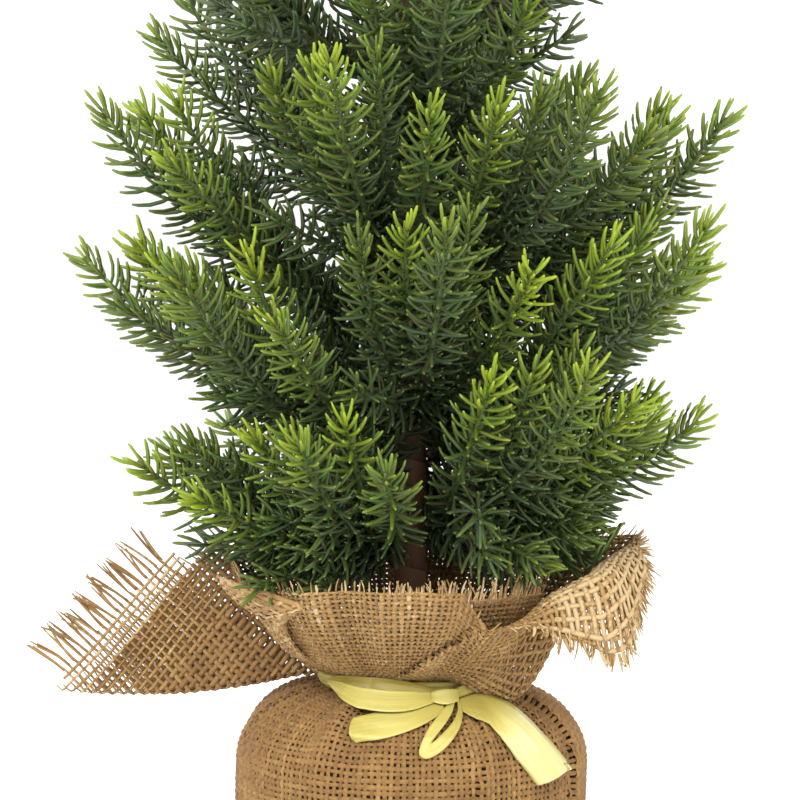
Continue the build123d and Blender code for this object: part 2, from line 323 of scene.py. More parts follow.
def cad_tip(node, pivot):
    """The far end of a CAD node's sprigs, as the mean of what lies near its furthest corner."""
    mesh = frame["nodes"][node].data
    co = np.zeros(len(mesh.vertices) * 3)
    mesh.vertices.foreach_get("co", co)
    co = co.reshape(-1, 3)
    away = np.linalg.norm(co - pivot, axis=1)
    at_tip = np.linalg.norm(co - co[away.argmax()], axis=1) < TIP_SPREAD
    return co[at_tip].mean(axis=0)


def branch_lines(pivot, azimuth, tip):
    """The end of a branch's wire, and each sprig's twig start, start, heading and end."""
    reach = tip - pivot
    length = np.linalg.norm(reach)
    pitch = math.degrees(math.atan2(reach[2], math.hypot(reach[0], reach[1]))) - UPWARD_CURL
    along = direction(azimuth, pitch)
    wire_end = pivot + along * (STEM_SHARE * length)
    sprigs = [(None, wire_end, along, tip)]
    for station, turn, rise, share in SIDE_SPRIGS:
        twig_start = pivot + along * (station * length)
        heading = direction(azimuth + turn, pitch + rise)
        aim = direction(azimuth + 0.8 * turn, pitch + rise + UPWARD_CURL)
        end = twig_start + aim * (share * length)
        sprigs.append((twig_start, twig_start + heading * TWIG_LENGTH, heading, end))
    return wire_end, sprigs


def leader_lines(pivot, tip):
    up = np.array([0.0, 0.0, 1.0])
    wire_end = pivot + up * LEADER_STEM
    sprigs = [(None, wire_end, up, tip)]
    for i in range(LEADER_SIDES):
        azimuth = LEADER_FIRST_AZIMUTH + i * GOLDEN_ANGLE
        twig_start = pivot + up * ((i + 1) * LEADER_TWIG_PITCH)
        heading = direction(azimuth, 90 - LEADER_SIDE_TURN)
        aim = direction(azimuth, 90 - LEADER_SIDE_TURN + UPWARD_CURL)
        end = twig_start + aim * LEADER_SIDE_LENGTH
        sprigs.append((twig_start, twig_start + heading * TWIG_LENGTH, heading, end))
    return wire_end, sprigs


def add_needles(bundle, line, spacing, reach, tone_low, tone_high, bare=0.0):
    """Needles round a stem given as points. They lean forward and curl along it, more so near its tip."""
    steps = np.linalg.norm(np.diff(line, axis=0), axis=1)
    run = np.concatenate([[0], np.cumsum(steps)])
    total = run[-1]
    count = int((total - bare) / spacing)
    if count < 3:
        return
    at = bare + (np.arange(count) + random.uniform(-0.35, 0.35, count)) * spacing
    at = np.clip(at, 0, total)
    share = at / total
    root, ahead, behind = (
        np.stack([np.interp(np.clip(at + step, 0, total), run, line[:, i]) for i in range(3)], axis=1)
        for step in (0.0, HEADING_STEP, -HEADING_STEP)
    )
    forward = unit(ahead - behind)
    side = unit(np.cross(forward, [0.13, 0.21, 0.97]))
    other = np.cross(forward, side)
    turn = np.radians(GOLDEN_ANGLE) * np.arange(count) + random.uniform(-0.3, 0.3, count)
    out = side * np.cos(turn)[:, None] + other * np.sin(turn)[:, None]
    near_tip = smooth((share - 0.72) / 0.28)
    lean = np.radians(random.uniform(66, 82, count) - 34 * near_tip)
    curl = np.radians(random.uniform(13, 29, count) * (1 - 0.3 * near_tip))
    size = reach * (1 - 0.26 * smooth((share - 0.6) / 0.4)) * (0.78 + 0.22 * smooth(share / 0.2))
    size = size * random.uniform(0.86, 1.1, count)
    rings = np.array([0.0, 0.25, 0.55, 0.82, 0.97])
    points = [root]
    for a, b in zip(rings, rings[1:]):
        angle = lean - curl * (a + b)
        heading = forward * np.cos(angle)[:, None] + out * np.sin(angle)[:, None]
        points.append(points[-1] + heading * (size * (b - a))[:, None])
    paths = above_cloth(np.stack(points, axis=1))
    thick = NEEDLE_RADIUS * random.uniform(0.85, 1.15, count)
    radii = thick[:, None] * np.array([0.8, 1.0, 1.0, 0.85, 0.5])[None]
    tone = tone_low + (tone_high - tone_low) * share**1.5 + random.normal(0, 0.05, count)
    # each needle's tone rises from root to tip: partly the plastic's lighter tip, partly a painted highlight
    # at the tip
    tones = tone[:, None] + np.array([-0.12, -0.07, 0.0, 0.09, 0.17])[None]
    hues = random.uniform(0, 1, count)[:, None] * np.ones(5)
    bundle.add(paths, radii, sides=4, tone=np.clip(tones, 0, 1), hue=hues)


def inner_shoots(pivot, wire_end):
    """Start, heading and end of a branch's small inner shoots."""
    reach = wire_end - pivot
    length = np.linalg.norm(reach) / STEM_SHARE
    azimuth = math.degrees(math.atan2(reach[1], reach[0]))
    pitch = math.degrees(math.asin(reach[2] / np.linalg.norm(reach)))
    made = []
    for station, turn, rise, size in INNER_SHOOTS:
        start = pivot + unit(reach) * (station * length)
        turn, rise = turn + random.normal(0, 5), rise + random.normal(0, 4)
        heading = direction(azimuth + turn, min(pitch + rise, 84))
        aim = direction(azimuth + 0.85 * turn, min(pitch + rise + 0.7 * UPWARD_CURL, 86))
        made.append((start, heading, start + aim * size * random.uniform(0.88, 1.1)))
    if pivot[2] > LOWEST_ROOT:
        return made
    for station, turn, rise, size in SKIRT_SHOOTS:
        start = pivot + unit(reach) * (station * length)
        turn, rise = turn + random.normal(0, 4), rise + random.normal(0, 3)
        end = start + direction(azimuth + turn, rise) * size * random.uniform(0.92, 1.1)
        right = float(smooth(end[0] / 0.03))
        room = SKIRT_REACH + RIGHT_REACH * right
        end[:2] *= min(room / math.hypot(end[0], end[1]), 1.0)
        lowest = SKIRT_FLOOR + (RIGHT_FLOOR - SKIRT_FLOOR) * right
        end[2] = max(end[2], CORNER_FLOOR if end[0] < CORNER_SIDE else lowest)
        made.append((start, direction(azimuth + turn, rise + 14), end))
    return made


def hides_trunk(start, end):
    """Whether a shoot would stand before the trunk's foot, which is seen between the lowest branches."""
    points = start + (end - start) * np.array([0.4, 0.6, 0.8, 1.0])[:, None]
    before = (np.abs(points[:, 0]) < TRUNK_GAP) & (points[:, 1] < -0.006) & (points[:, 2] < TRUNK_GAP_TOP)
    return before.any()


def add_sprig(bundle, start, heading, end, low, high, spacing=NEEDLE_SPACING):
    """One needle-covered sprig with its moulded stem."""
    line = sprig_curve(start, heading, end, np.linspace(0, 1, 15))
    add_needles(bundle, line, spacing, NEEDLE_LENGTH, low, high)
    stem = np.linspace(0.00125, 0.0006, len(line))
    tones = np.linspace(0.1, 0.35, len(line))
    bundle.add(above_cloth(line)[None], stem[None], sides=5, tone=tones[None], hue=0.5)


def grow(name, sprigs, pivot, wire_end, inner=True):
    """A branch's foliage: its five sprigs, the needles on its wire and twigs, and its inner shoots."""
    bundle = Bundle()
    for twig_start, start, heading, end in sprigs:
        add_sprig(bundle, start, heading, end, random.uniform(0.06, 0.2), random.uniform(0.55, 0.98))
        if twig_start is not None:
            twig = np.linspace(twig_start, start, 4)
            add_needles(bundle, twig, NEEDLE_SPACING * 1.5, NEEDLE_LENGTH * 0.95, 0.0, 0.15)
    for start, heading, end in inner_shoots(pivot, wire_end) if inner else []:
        # a shoot that would hide the trunk is left out, though its random values are still drawn
        shown = Bundle() if hides_trunk(start, end) else bundle
        add_sprig(shown, start, heading, end, 0.0, random.uniform(0.25, 0.5), NEEDLE_SPACING * 1.15)
    wire = np.linspace(pivot, wire_end, 8)
    add_needles(bundle, wire, NEEDLE_SPACING * 1.7, NEEDLE_LENGTH, 0.0, 0.1, bare=0.006)
    return bundle.piece(name)


def bent_wires(name, pivot, wire_end, sprigs):
    """The wire of a spray or of the leader: its eye, its stem and its twigs."""
    bundle = Bundle()
    half_eye = unit(wire_end - pivot) * WIRE_EYE
    eye = np.linspace(pivot - half_eye, pivot + half_eye, 7)
    swell = WIRE_EYE * np.sqrt(np.clip(1 - np.linspace(-0.94, 0.94, 7) ** 2, 0, None))
    bundle.add(eye[None], swell[None], sides=10)
    bundle.add(np.linspace(pivot, wire_end, 6)[None], np.full((1, 6), STEM_RADIUS), sides=8)
    for twig_start, start, _, _ in sprigs:
        if twig_start is not None:
            bundle.add(np.linspace(twig_start, start, 4)[None], np.full((1, 4), TWIG_RADIUS), sides=8)
    return bundle.piece(name)


# ---------------------------------------------------------------- materials


def material(name):
    made = bpy.data.materials.new(name)
    made.use_nodes = True
    nodes, links = made.node_tree.nodes, made.node_tree.links
    return made, nodes, links, nodes["Principled BSDF"]


def ramp(nodes, stops):
    node = nodes.new("ShaderNodeValToRGB")
    while len(node.color_ramp.elements) < len(stops):
        node.color_ramp.elements.new(1.0)
    for element, (at, colour) in zip(node.color_ramp.elements, stops):
        element.position = at
        element.color = (*colour, 1.0)
    return node


def add_noise(nodes, links, scale, detail=3.0, where=None):
    """A noise as a value from 0 to 1, fixed to the piece unless another place is given for it."""
    if where is None:
        where = nodes.new("ShaderNodeTexCoord").outputs["Object"]
    noise = nodes.new("ShaderNodeTexNoise")
    noise.inputs["Scale"].default_value = scale
    noise.inputs["Detail"].default_value = detail
    links.new(where, noise.inputs["Vector"])
    return noise.outputs["Fac"]


def add_bump(nodes, links, shader, height, strength, distance):
    bump = nodes.new("ShaderNodeBump")
    bump.inputs["Strength"].default_value = strength
    bump.inputs["Distance"].default_value = distance
    links.new(height, bump.inputs["Height"])
    links.new(bump.outputs["Normal"], shader.inputs["Normal"])


def point_value(nodes, name):
    """A value that a piece's points carry."""
    node = nodes.new("ShaderNodeAttribute")
    node.attribute_name = name
    return node.outputs["Fac"]


def calculate(nodes, links, operation, *values):
    """The result of a math node, whose values are numbers or other nodes' results."""
    node = nodes.new("ShaderNodeMath")
    node.operation = operation
    for socket, value in zip(node.inputs, values):
        if isinstance(value, (int, float)):
            socket.default_value = value
        else:
            links.new(value, socket)
    return node.outputs["Value"]


def colour_by(nodes, links, value, stops):
    """A colour that follows a value from one stop to the next."""
    colour = ramp(nodes, stops)
    links.new(value, colour.inputs["Fac"])
    return colour.outputs["Color"]


def mottled(name, dark, light, scale, roughness, metallic=0.0, strength=0.3, distance=0.0002):
    """A material whose colour wanders between two colours, with a bump of the same grain."""
    made, nodes, links, shader = material(name)
    grain = add_noise(nodes, links, scale)
    colour = colour_by(nodes, links, grain, [(0.3, dark), (0.7, light)])
    links.new(colour, shader.inputs["Base Color"])
    shader.inputs["Roughness"].default_value = roughness
    shader.inputs["Metallic"].default_value = metallic
    add_bump(nodes, links, shader, grain, strength, distance)
    return made


# Needle colours by tone, dark at the roots and light at the tips. The darkest stops are set lighter as
# painted light, for the light that scatters deep into the tree.
OLIVE = [
    (0.0, (0.066, 0.074, 0.026)),
    (0.35, (0.072, 0.098, 0.015)),
    (0.65, (0.132, 0.170, 0.008)),
    (1.0, (0.300, 0.365, 0.009)),
]
GREEN = [
    (0.0, (0.044, 0.074, 0.038)),
    (0.35, (0.052, 0.096, 0.023)),
    (0.65, (0.100, 0.168, 0.011)),
    (1.0, (0.235, 0.350, 0.012)),
]


def foliage_material():
    made, nodes, links, shader = material("needle_plastic")
    tone = point_value(nodes, "tone")
    mixed = nodes.new("ShaderNodeMix")
    mixed.data_type = "RGBA"
    links.new(point_value(nodes, "hue"), mixed.inputs[0])
    links.new(colour_by(nodes, links, tone, OLIVE), mixed.inputs[6])
    links.new(colour_by(nodes, links, tone, GREEN), mixed.inputs[7])
    links.new(mixed.outputs[2], shader.inputs["Base Color"])
    shader.inputs["Roughness"].default_value = 0.45
    add_bump(nodes, links, shader, add_noise(nodes, links, 700), 0.25, 0.0001)
    return made


# ---------------------------------------------------------------- foliage

needle_plastic = foliage_material()
wire_coat = mottled("coated_wire", (0.030, 0.026, 0.010), (0.060, 0.052, 0.020), 600, 0.45)
joints = {joint["child"]: joint for joint in frame["joints"]}
for body, joint in joints.items():
    pivot = np.array(joint["pos_m"])
    if body == "leader":
        top = np.array([0.0, 0.0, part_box("leader")[1].z])
        wire_end, sprigs = leader_lines(pivot, top)
        node = "leader"
    else:
        azimuth = math.degrees(math.atan2(pivot[1], pivot[0]))
        node = body if body.startswith("spray") else body + "_sprigs"
        wire_end, sprigs = branch_lines(pivot, azimuth, cad_tip(node, pivot))
    piece = grow(body + "_foliage", sprigs, pivot, wire_end, inner=body != "leader")
    piece.data.materials.append(needle_plastic)
    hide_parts(node)
    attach(piece, body)
    if not body.startswith("branch"):
        wire = bent_wires(body + "_wire", pivot, wire_end, sprigs)
        wire.data.materials.append(wire_coat)
        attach(wire, body)


# ---------------------------------------------------------------- what shows of the CAD model

TAPE_PITCH = 0.009  # from one turn of the trunk's tape to the next


def tape_material():
    """Paper tape wound up the trunk: each turn laps over the last, with a darker line along its edge."""
    made, nodes, links, shader = material("wound_tape")
    where = nodes.new("ShaderNodeTexCoord")
    split = nodes.new("ShaderNodeSeparateXYZ")
    links.new(where.outputs["Object"], split.inputs["Vector"])
    x, y, z = (split.outputs[axis] for axis in "XYZ")
    angle = calculate(nodes, links, "ARCTAN2", y, x)
    turns = calculate(nodes, links, "MULTIPLY", angle, 1 / (2 * math.pi))
    wound = calculate(nodes, links, "MULTIPLY_ADD", z, 1 / TAPE_PITCH, turns)
    lap = calculate(nodes, links, "FRACT", wound)
    stops = [(0.0, (0.045, 0.021, 0.010)), (0.10, (0.120, 0.058, 0.026)), (1.0, (0.200, 0.105, 0.050))]
    links.new(colour_by(nodes, links, lap, stops), shader.inputs["Base Color"])
    shader.inputs["Roughness"].default_value = 0.7
    add_bump(nodes, links, shader, lap, 0.6, 0.0008)
    return made


def recolour(obj, finish):
    obj.data.materials.clear()
    obj.data.materials.append(finish)


for node, finish in {
    "inner_pot": mottled("pot_plastic", (0.018, 0.014, 0.010), (0.030, 0.023, 0.016), 300, 0.55),
    "ballast": mottled("cast_cement", (0.26, 0.25, 0.23), (0.42, 0.41, 0.38), 220, 0.9, distance=0.0006),
    "foam_dome": mottled("rigid_foam", (0.030, 0.020, 0.012), (0.060, 0.042, 0.024), 900, 0.95),
    "pole": mottled("bare_steel", (0.40, 0.39, 0.37), (0.50, 0.49, 0.47), 500, 0.35, metallic=1.0),
    "wire_tails": wire_coat,
    "trunk_tape": tape_material(),
}.items():
    recolour(frame["nodes"][node], finish)
for node, obj in frame["nodes"].items():
    if node.startswith("branch") and node.endswith("_wire"):
        recolour(obj, wire_coat)


# ---------------------------------------------------------------- burlap

YARN_PITCH = 0.0021
YARN_HALF_WIDTH = 0.00074
CRIMP = 0.00034  # how far a yarn rises over the one it crosses
YARN_ARCH = 0.45
# The sack's jute is set darker than the collar's as painted shade: its sides take less light from above than
# the collar.
SACK_SHADED_TONE = 0.36  # how light the jute is, from 0 to 1
COLLAR_TONE = 0.54
COLLAR_ROWS = 26
WIDEST_YARN = 1.25  # how much a yarn may widen where the collar flares
INNER_TONE = 0.42


def waves(count, size, strengths):
    """A smooth closed function of an angle in radians: random waves of the given counts round the circle."""
    phases = random.uniform(0, 2 * math.pi, len(count))
    return lambda angle: size * sum(a * np.sin(n * angle + p) for n, a, p in zip(count, strengths, phases))


def wander(shape, smoothness):
    """Random values that change slowly along the last axis, about -1 to 1."""
    n, k = shape
    knots = max(int(k / smoothness), 3)
    rough = random.uniform(-1, 1, (n, knots))
    at = np.linspace(0, knots - 1, k)
    low = np.minimum(at.astype(int), knots - 2)
    t = smooth(at - low)
    return rough[:, low] * (1 - t) + rough[:, low + 1] * t


def sack_profile():
    """Radius and height from the foot up the side, over the shoulder and up the neck."""
    z = np.linspace(0, SHOULDER_HEIGHT, 30)
    belly = SACK_RADIUS - (SACK_RADIUS - FOOT_RADIUS) * (1 - z / SHOULDER_HEIGHT) ** 3
    turn = np.linspace(0, math.pi / 2, 30)[1:]
    shoulder = NECK_RADIUS + (SACK_RADIUS - NECK_RADIUS) * np.cos(turn)
    rise = SHOULDER_HEIGHT + (NECK_BOTTOM - SHOULDER_HEIGHT) * np.sin(turn)
    radius = np.concatenate([belly, shoulder, [NECK_RADIUS]])
    height = np.concatenate([z, rise, [NECK_TOP]])
    run = np.concatenate([[0], np.cumsum(np.hypot(np.diff(radius), np.diff(height)))])
    return run, radius, height


PROFILE = sack_profile()
gathers = waves([9, 14, 19, 27], 0.0006, [0.8, 1.0, 0.9, 0.6])
sways = waves([2, 3, 5], 0.0007, [1.0, 0.8, 0.6])


def pleat(azimuth, centre, width, height):
    """A tuck in the cloth: it rises sharply at its centre azimuth and falls away past it."""
    past = (azimuth - centre + 180) % 360 - 180
    return height * smooth(past / 1.3 + 0.5) * np.exp(-np.clip(past, 0, None) / width)


def sack_lift(azimuth, height):
    """How far the sack's cloth stands off its plain outline: its gathers, sways and pleats."""
    angle = np.radians(azimuth)
    gathered = smooth((height - 0.072) / 0.032)
    lift = gathers(angle) * gathered + sways(angle + 9 * height) * smooth(height / 0.02) * (1 - gathered)
    lift = lift + pleat(azimuth, 290.5 + 9 * gathered, 9.0, 0.0021) * smooth(height / 0.012)
    lift = lift + pleat(azimuth, 336.0 + 3 * gathered, 14.0, 0.0026) * smooth(height / 0.012)
    lift = lift + pleat(azimuth, 141.0 - 6 * gathered, 12.0, 0.0022) * smooth(height / 0.012)
    return lift * (1 - 0.5 * smooth((height - NECK_BOTTOM) / 0.004))


def sack_surface(azimuth, run):
    """Points and outward normals of the sack's cloth, at azimuths in degrees and runs up its profile."""
    runs, radii, heights = PROFILE
    radius, height = np.interp(run, runs, radii), np.interp(run, runs, heights)
    slope_r, slope_z = (
        np.interp(run + 1e-4, runs, values) - np.interp(run - 1e-4, runs, values)
        for values in (radii, heights)
    )
    norm = np.hypot(slope_r, slope_z) + 1e-12
    out_r, out_z = slope_z / norm, -slope_r / norm
    angle = np.radians(azimuth)
    lift = sack_lift(azimuth, height)
    radius, height = radius + out_r * lift, height + out_z * lift
    points = np.stack([radius * np.cos(angle), radius * np.sin(angle), height], axis=-1)
    normals = np.stack([out_r * np.cos(angle), out_r * np.sin(angle), out_z], axis=-1)
    return points, normals


def weave(bundle, surface, columns, rows, closed, half_width, add, base):
    """Yarns over a surface of two numbers. columns and rows are where the two sets of yarns run."""
    step = 2
    fine_rows, fine_columns = (
        np.interp(np.arange((len(lines) - 1) * step + 1) / step, np.arange(len(lines)), lines)
        for lines in (rows, columns)
    )
    column_pitch, row_pitch = abs(columns[1] - columns[0]), abs(rows[1] - rows[0])
    own = columns[: len(columns) - 1] if closed else columns
    u = own[:, None] + column_pitch * 0.13 * wander((len(own), len(fine_rows)), 7)
    v = np.broadcast_to(fine_rows[None], u.shape)
    add(bundle, surface, u, v, half_width, np.arange(len(own))[:, None], base)
    v = rows[:, None] + row_pitch * 0.13 * wander((len(rows), len(fine_columns)), 7)
    v = np.clip(v, rows.min(), rows.max())
    u = np.broadcast_to(fine_columns[None], v.shape)
    add(bundle, surface, u, v, half_width, np.arange(len(rows))[:, None] + 1, base)


def yarn_paths(surface, u, v, index):
    """The middle lines of a set of yarns, which go over and under from one crossing to the next."""
    points, normals = surface(u, v)
    over = np.cos(math.pi * (np.arange(u.shape[1])[None] / 2 + index))
    return points + normals * (CRIMP * over)[..., None], normals


def local_pitch(points):
    """How far apart neighbouring yarns of a set lie, at each of their points."""
    apart = np.linalg.norm(np.diff(points, axis=0), axis=-1)
    return np.concatenate([apart, apart[-1:]])


def yarn_width(surface, u, v, half_width, widest):
    """A yarn's half width: narrower where its neighbours are close, and wider where they aren't."""
    plain, _ = surface(u, v)
    room = np.minimum(local_pitch(plain) / YARN_PITCH, widest)
    return half_width * room * (1 + 0.14 * wander(u.shape, 5)) * random.uniform(0.93, 1.08, (len(u), 1))


def yarn_tone(base, shape):
    return np.clip(base + 0.16 * wander(shape, 9) + random.normal(0, 0.045, (shape[0], 1)), 0, 1)


def add_flat_yarns(bundle, surface, u, v, half_width, index, base):
    paths, normals = yarn_paths(surface, u, v, index)
    width = yarn_width(surface, u, v, half_width, 1.0)
    bundle.strips(paths, width, normals, YARN_ARCH, tone=yarn_tone(base, u.shape))


def add_round_yarns(bundle, surface, u, v, half_width, index, base):
    paths, normals = yarn_paths(surface, u, v, index)
    if surface is collar_surface:
        # the collar's painted light, where it faces up, is added to its tone
        base, half_width = base + painted_collar_light(u, v), half_width * collar_fullness(u)
    width = yarn_width(surface, u, v, half_width, WIDEST_YARN)
    across = np.cross(normals, unit(np.gradient(paths, axis=1)))
    bundle.add(paths, width, sides=4, across=across, flat=0.5, tone=yarn_tone(base, u.shape))


def burlap_sack():
    bundle = Bundle()
    around = round(2 * math.pi * SACK_RADIUS / YARN_PITCH / 2) * 2
    up = round(PROFILE[0][-1] / YARN_PITCH)
    columns = np.linspace(90, 450, around + 1)
    rows = np.linspace(0.0, PROFILE[0][-1], up + 1)
    weave(bundle, sack_surface, columns, rows, True, YARN_HALF_WIDTH, add_flat_yarns, SACK_SHADED_TONE)
    add_underside(bundle)
    return bundle.piece("burlap_sack_cloth")


def add_underside(bundle):
    """The cloth under the base: a flat weave out to the foot's edge."""
    lines = np.arange(-FOOT_RADIUS + YARN_PITCH / 2, FOOT_RADIUS, YARN_PITCH)
    for turned in (0, 1):
        for index, at in enumerate(lines):
            half = math.sqrt(FOOT_RADIUS**2 - at**2)
            along = np.linspace(-half, half, max(int(2 * half / YARN_PITCH), 3))
            over = np.cos(math.pi * (along / YARN_PITCH + index + turned)) * CRIMP * 0.6
            level = np.full_like(along, at)
            x, y = (along, level) if not turned else (level, along)
            path = np.stack([x, y, 0.0006 - over], axis=-1)[None]
            down = np.broadcast_to([0.0, 0.0, -1.0], path.shape)
            width = np.full((1, len(along)), YARN_HALF_WIDTH)
            bundle.strips(path, width, down, YARN_ARCH, tone=0.45)


ruffles = waves([7, 11, 16], 0.0016, [1.0, 0.9, 0.6])


def collar_surface(azimuth, share):
    """Points and outward normals of the collar, at azimuths in degrees and shares of the way to its edge."""

    def place(azimuth, share):
        wrapped = azimuth % 360
        belly_r, belly_z, top_r, top_z, edge_r, edge_z = collar_values(wrapped, 6)
        # a cubic through the neck, belly, top and edge
        knots = [0.0, 0.38, 0.80, 1.0]
        weights = []
        for i, knot in enumerate(knots):
            weight = 1.0
            for other in knots[:i] + knots[i + 1 :]:
                weight = weight * (share - other) / (knot - other)
            weights.append(weight)
        radius = weights[0] * NECK_RADIUS + weights[1] * belly_r + weights[2] * top_r + weights[3] * edge_r
        height = weights[0] * NECK_TOP + weights[1] * belly_z + weights[2] * top_z + weights[3] * edge_z
        angle = np.radians(wrapped)
        line = np.interp(share, [0, 0.2, 0.55, 1.0], [252.0, 268.0, 284.0, 291.0])
        lap = pleat(azimuth, line, 16.0, 0.0042) * smooth(share / 0.25)
        back_lap = pleat(azimuth, 70 + 25 * share, 18.0, 0.0036) * smooth(share / 0.25)
        radius = radius + ruffles(angle) * smooth(share / 0.5) + lap + back_lap
        shift = RIM_CENTRE_X * smooth(share)
        return np.stack([shift + radius * np.cos(angle), radius * np.sin(angle), height], axis=-1)

    points = place(azimuth, share)
    along = place(azimuth + 0.2, share) - points
    upward = place(azimuth, share + 0.005) - points
    return points, unit(np.cross(along, upward))


def near(azimuth, start, end, soft):
    """1 between two azimuths, falling to 0 past them."""
    return smooth((azimuth % 360 - start) / soft) * smooth((end - azimuth % 360) / soft)


def painted_collar_light(azimuth, share):
    """Painted light: where the cloth faces up, on the right flap and the left edge, its colour is made
    lighter.
    """
    flap = 0.34 * near(azimuth, 304, 359, 16) * smooth((share - 0.45) / 0.35)
    left = 0.22 * near(azimuth, 190, 246, 18) * smooth((share - 0.55) / 0.3)
    return flap + left


def collar_fullness(azimuth):
    """The yarns lie closer round the back, where there are more layers."""
    return 1 + 0.2 * smooth(np.sin(np.radians(azimuth)) * 1.6)


def burlap_collar():
    bundle = Bundle()
    around = round(2 * math.pi * 0.060 / YARN_PITCH / 2) * 2
    columns = np.linspace(90, 450, around + 1)
    rows = np.linspace(0, 0.96, COLLAR_ROWS)
    weave(bundle, collar_surface, columns, rows, True, YARN_HALF_WIDTH, add_round_yarns, COLLAR_TONE)
    return bundle.piece("burlap_collar_cloth"), columns


def collar_fringe(columns):
    """The ends of the collar's upright yarns, which stand past its last crossing yarn."""
    bundle = Bundle()
    own = columns[:-1] + random.normal(0, 0.35, len(columns) - 1)
    edge, normals = collar_surface(own, np.full(len(own), 0.955))
    before, _ = collar_surface(own, np.full(len(own), 0.90))
    forward = unit(edge - before)
    folded = smooth((own % 360 - 305) / 12) * smooth((356 - own % 360) / 12)
    length = random.uniform(0.002, 0.0055, len(own)) * (1 + 1.1 * folded)
    sideways = unit(np.cross(normals, forward))
    bend = random.normal(0, 0.35, (len(own), 1)) * sideways + random.normal(0, 0.25, (len(own), 1)) * normals
    t = np.linspace(0, 1, 5)[None, :, None]
    paths = edge[:, None] + length[:, None, None] * (forward[:, None] * t + bend[:, None] * t**2 * 0.6)
    widths = random.uniform(0.00028, 0.00055, (len(own), 1)) * np.array([1.1, 1.2, 1.0, 0.8, 0.35])[None]
    bundle.add(paths, widths, sides=4, flat=0.6, tone=random.uniform(0.55, 1.0, (len(own), 1)) * np.ones(5))
    return bundle.piece("burlap_collar_fringe")


# The right flap is two layers thick: the azimuths and the shares of the collar that its upper layer covers
FLAP_FROM = 303.0
FLAP_TO = 358.0
FLAP_START = 0.74
FLAP_END = 1.0
# The flap's upper layer is set lighter than the collar as painted light, where it faces up.
FLAP_LIT_TONE = 0.78
FLAP_STEP = 1.5


def flap_surface(azimuth, share):
    """The flap's upper layer, which lies on the collar's folded edge and is a little shorter at its ends."""
    points, normals = collar_surface(azimuth, share)
    return points + normals * 0.0011, normals


def flap_end(azimuth):
    """How far down the flap's upper layer reaches, as a share of the collar."""
    across = (np.asarray(azimuth, float) - FLAP_FROM) / (FLAP_TO - FLAP_FROM)
    return FLAP_END - 0.10 * (2 * across - 1) ** 4 + 0.012 * np.sin(across * 17)


def collar_flap():
    """The upper layer, closely woven, and its frayed ends, which lean together in threes."""
    cloth, fringe = Bundle(), Bundle()
    columns = np.arange(FLAP_FROM, FLAP_TO, FLAP_STEP)

    def hanging(azimuth, share):
        reach = (flap_end(azimuth) - FLAP_START) / (FLAP_END - FLAP_START)
        return flap_surface(azimuth, FLAP_START + (share - FLAP_START) * reach)

    weave(
        cloth, hanging, columns, np.linspace(FLAP_START, 0.985, 13), False, YARN_HALF_WIDTH * 1.1,
        add_round_yarns, FLAP_LIT_TONE,
    )
    t = np.linspace(0, 1, 6)[:, None]
    for index, azimuth in enumerate(columns):
        tuft = columns[min(index // 3 * 3 + 1, len(columns) - 1)]
        for _ in range(4):
            at = np.array([azimuth + random.normal(0, 0.35)])
            edge, normal = flap_surface(at, flap_end(at) - 0.012)
            before, _ = flap_surface(at, flap_end(at) - 0.06)
            forward = unit(edge - before)
            sideways = unit(np.cross(normal, forward))
            length = random.uniform(0.003, 0.0065)
            lean = math.radians(at[0] - tuft) * 0.055 + random.normal(0, 0.0005)
            bend = sideways * lean + normal * random.normal(0, 0.0007)
            path = edge + forward * length * t + bend * t**1.5
            width = random.uniform(0.00028, 0.00048) * (1 - 0.5 * t[:, 0] ** 2)
            fringe.add(path[None], width[None], sides=4, tone=random.uniform(0.5, 1.0))
    return cloth.piece("burlap_flap"), fringe.piece("burlap_flap_fringe")


# The cloth's inner layer, seen where the collar's rim dips: its azimuths, and how it lies inside the collar
INNER_FROM = 258.0
INNER_TO = 318.0
INNER_SHRINK = 0.90
PLAIN_AZIMUTH = 252.0  # where the collar has no dip, whose shape the inner layer repeats


def inner_surface(azimuth, share):
    source = PLAIN_AZIMUTH + 0.12 * (azimuth - INNER_FROM)
    points, normals = collar_surface(source, share)
    turn = np.radians(azimuth - source)
    made = []
    for vector, shrink in ((points, INNER_SHRINK), (normals, 1.0)):
        x, y, z = (vector[..., i] for i in range(3))
        turned = [x * np.cos(turn) - y * np.sin(turn), x * np.sin(turn) + y * np.cos(turn)]
        made.append(np.stack([turned[0] * shrink, turned[1] * shrink, z], axis=-1))
    return made[0], made[1]


def burlap_inner_layer():
    """The inner layer, with long loose ends standing up from it."""
    cloth, fringe = Bundle(), Bundle()
    columns = np.linspace(INNER_FROM, INNER_TO, 31)
    weave(
        cloth, inner_surface, columns, np.linspace(0.45, 0.86, 11), False, YARN_HALF_WIDTH, add_round_yarns,
        INNER_TONE,
    )
    t = np.linspace(0, 1, 7)
    for azimuth in np.arange(INNER_FROM, INNER_TO, 0.8):
        lean = random.normal(0, 1.6)
        share = 0.83 + random.uniform(0.10, 0.24) * t
        points, normals = inner_surface(azimuth + lean * t**1.5, share)
        points = points + normals * (random.normal(0, 0.0012) * t**2)[:, None]
        width = random.uniform(0.0003, 0.0005) * (1 - 0.5 * t**2)
        fringe.add(points[None], width[None], sides=4, tone=random.uniform(0.5, 1.0))
    return cloth.piece("burlap_inner_layer"), fringe.piece("burlap_inner_fringe")


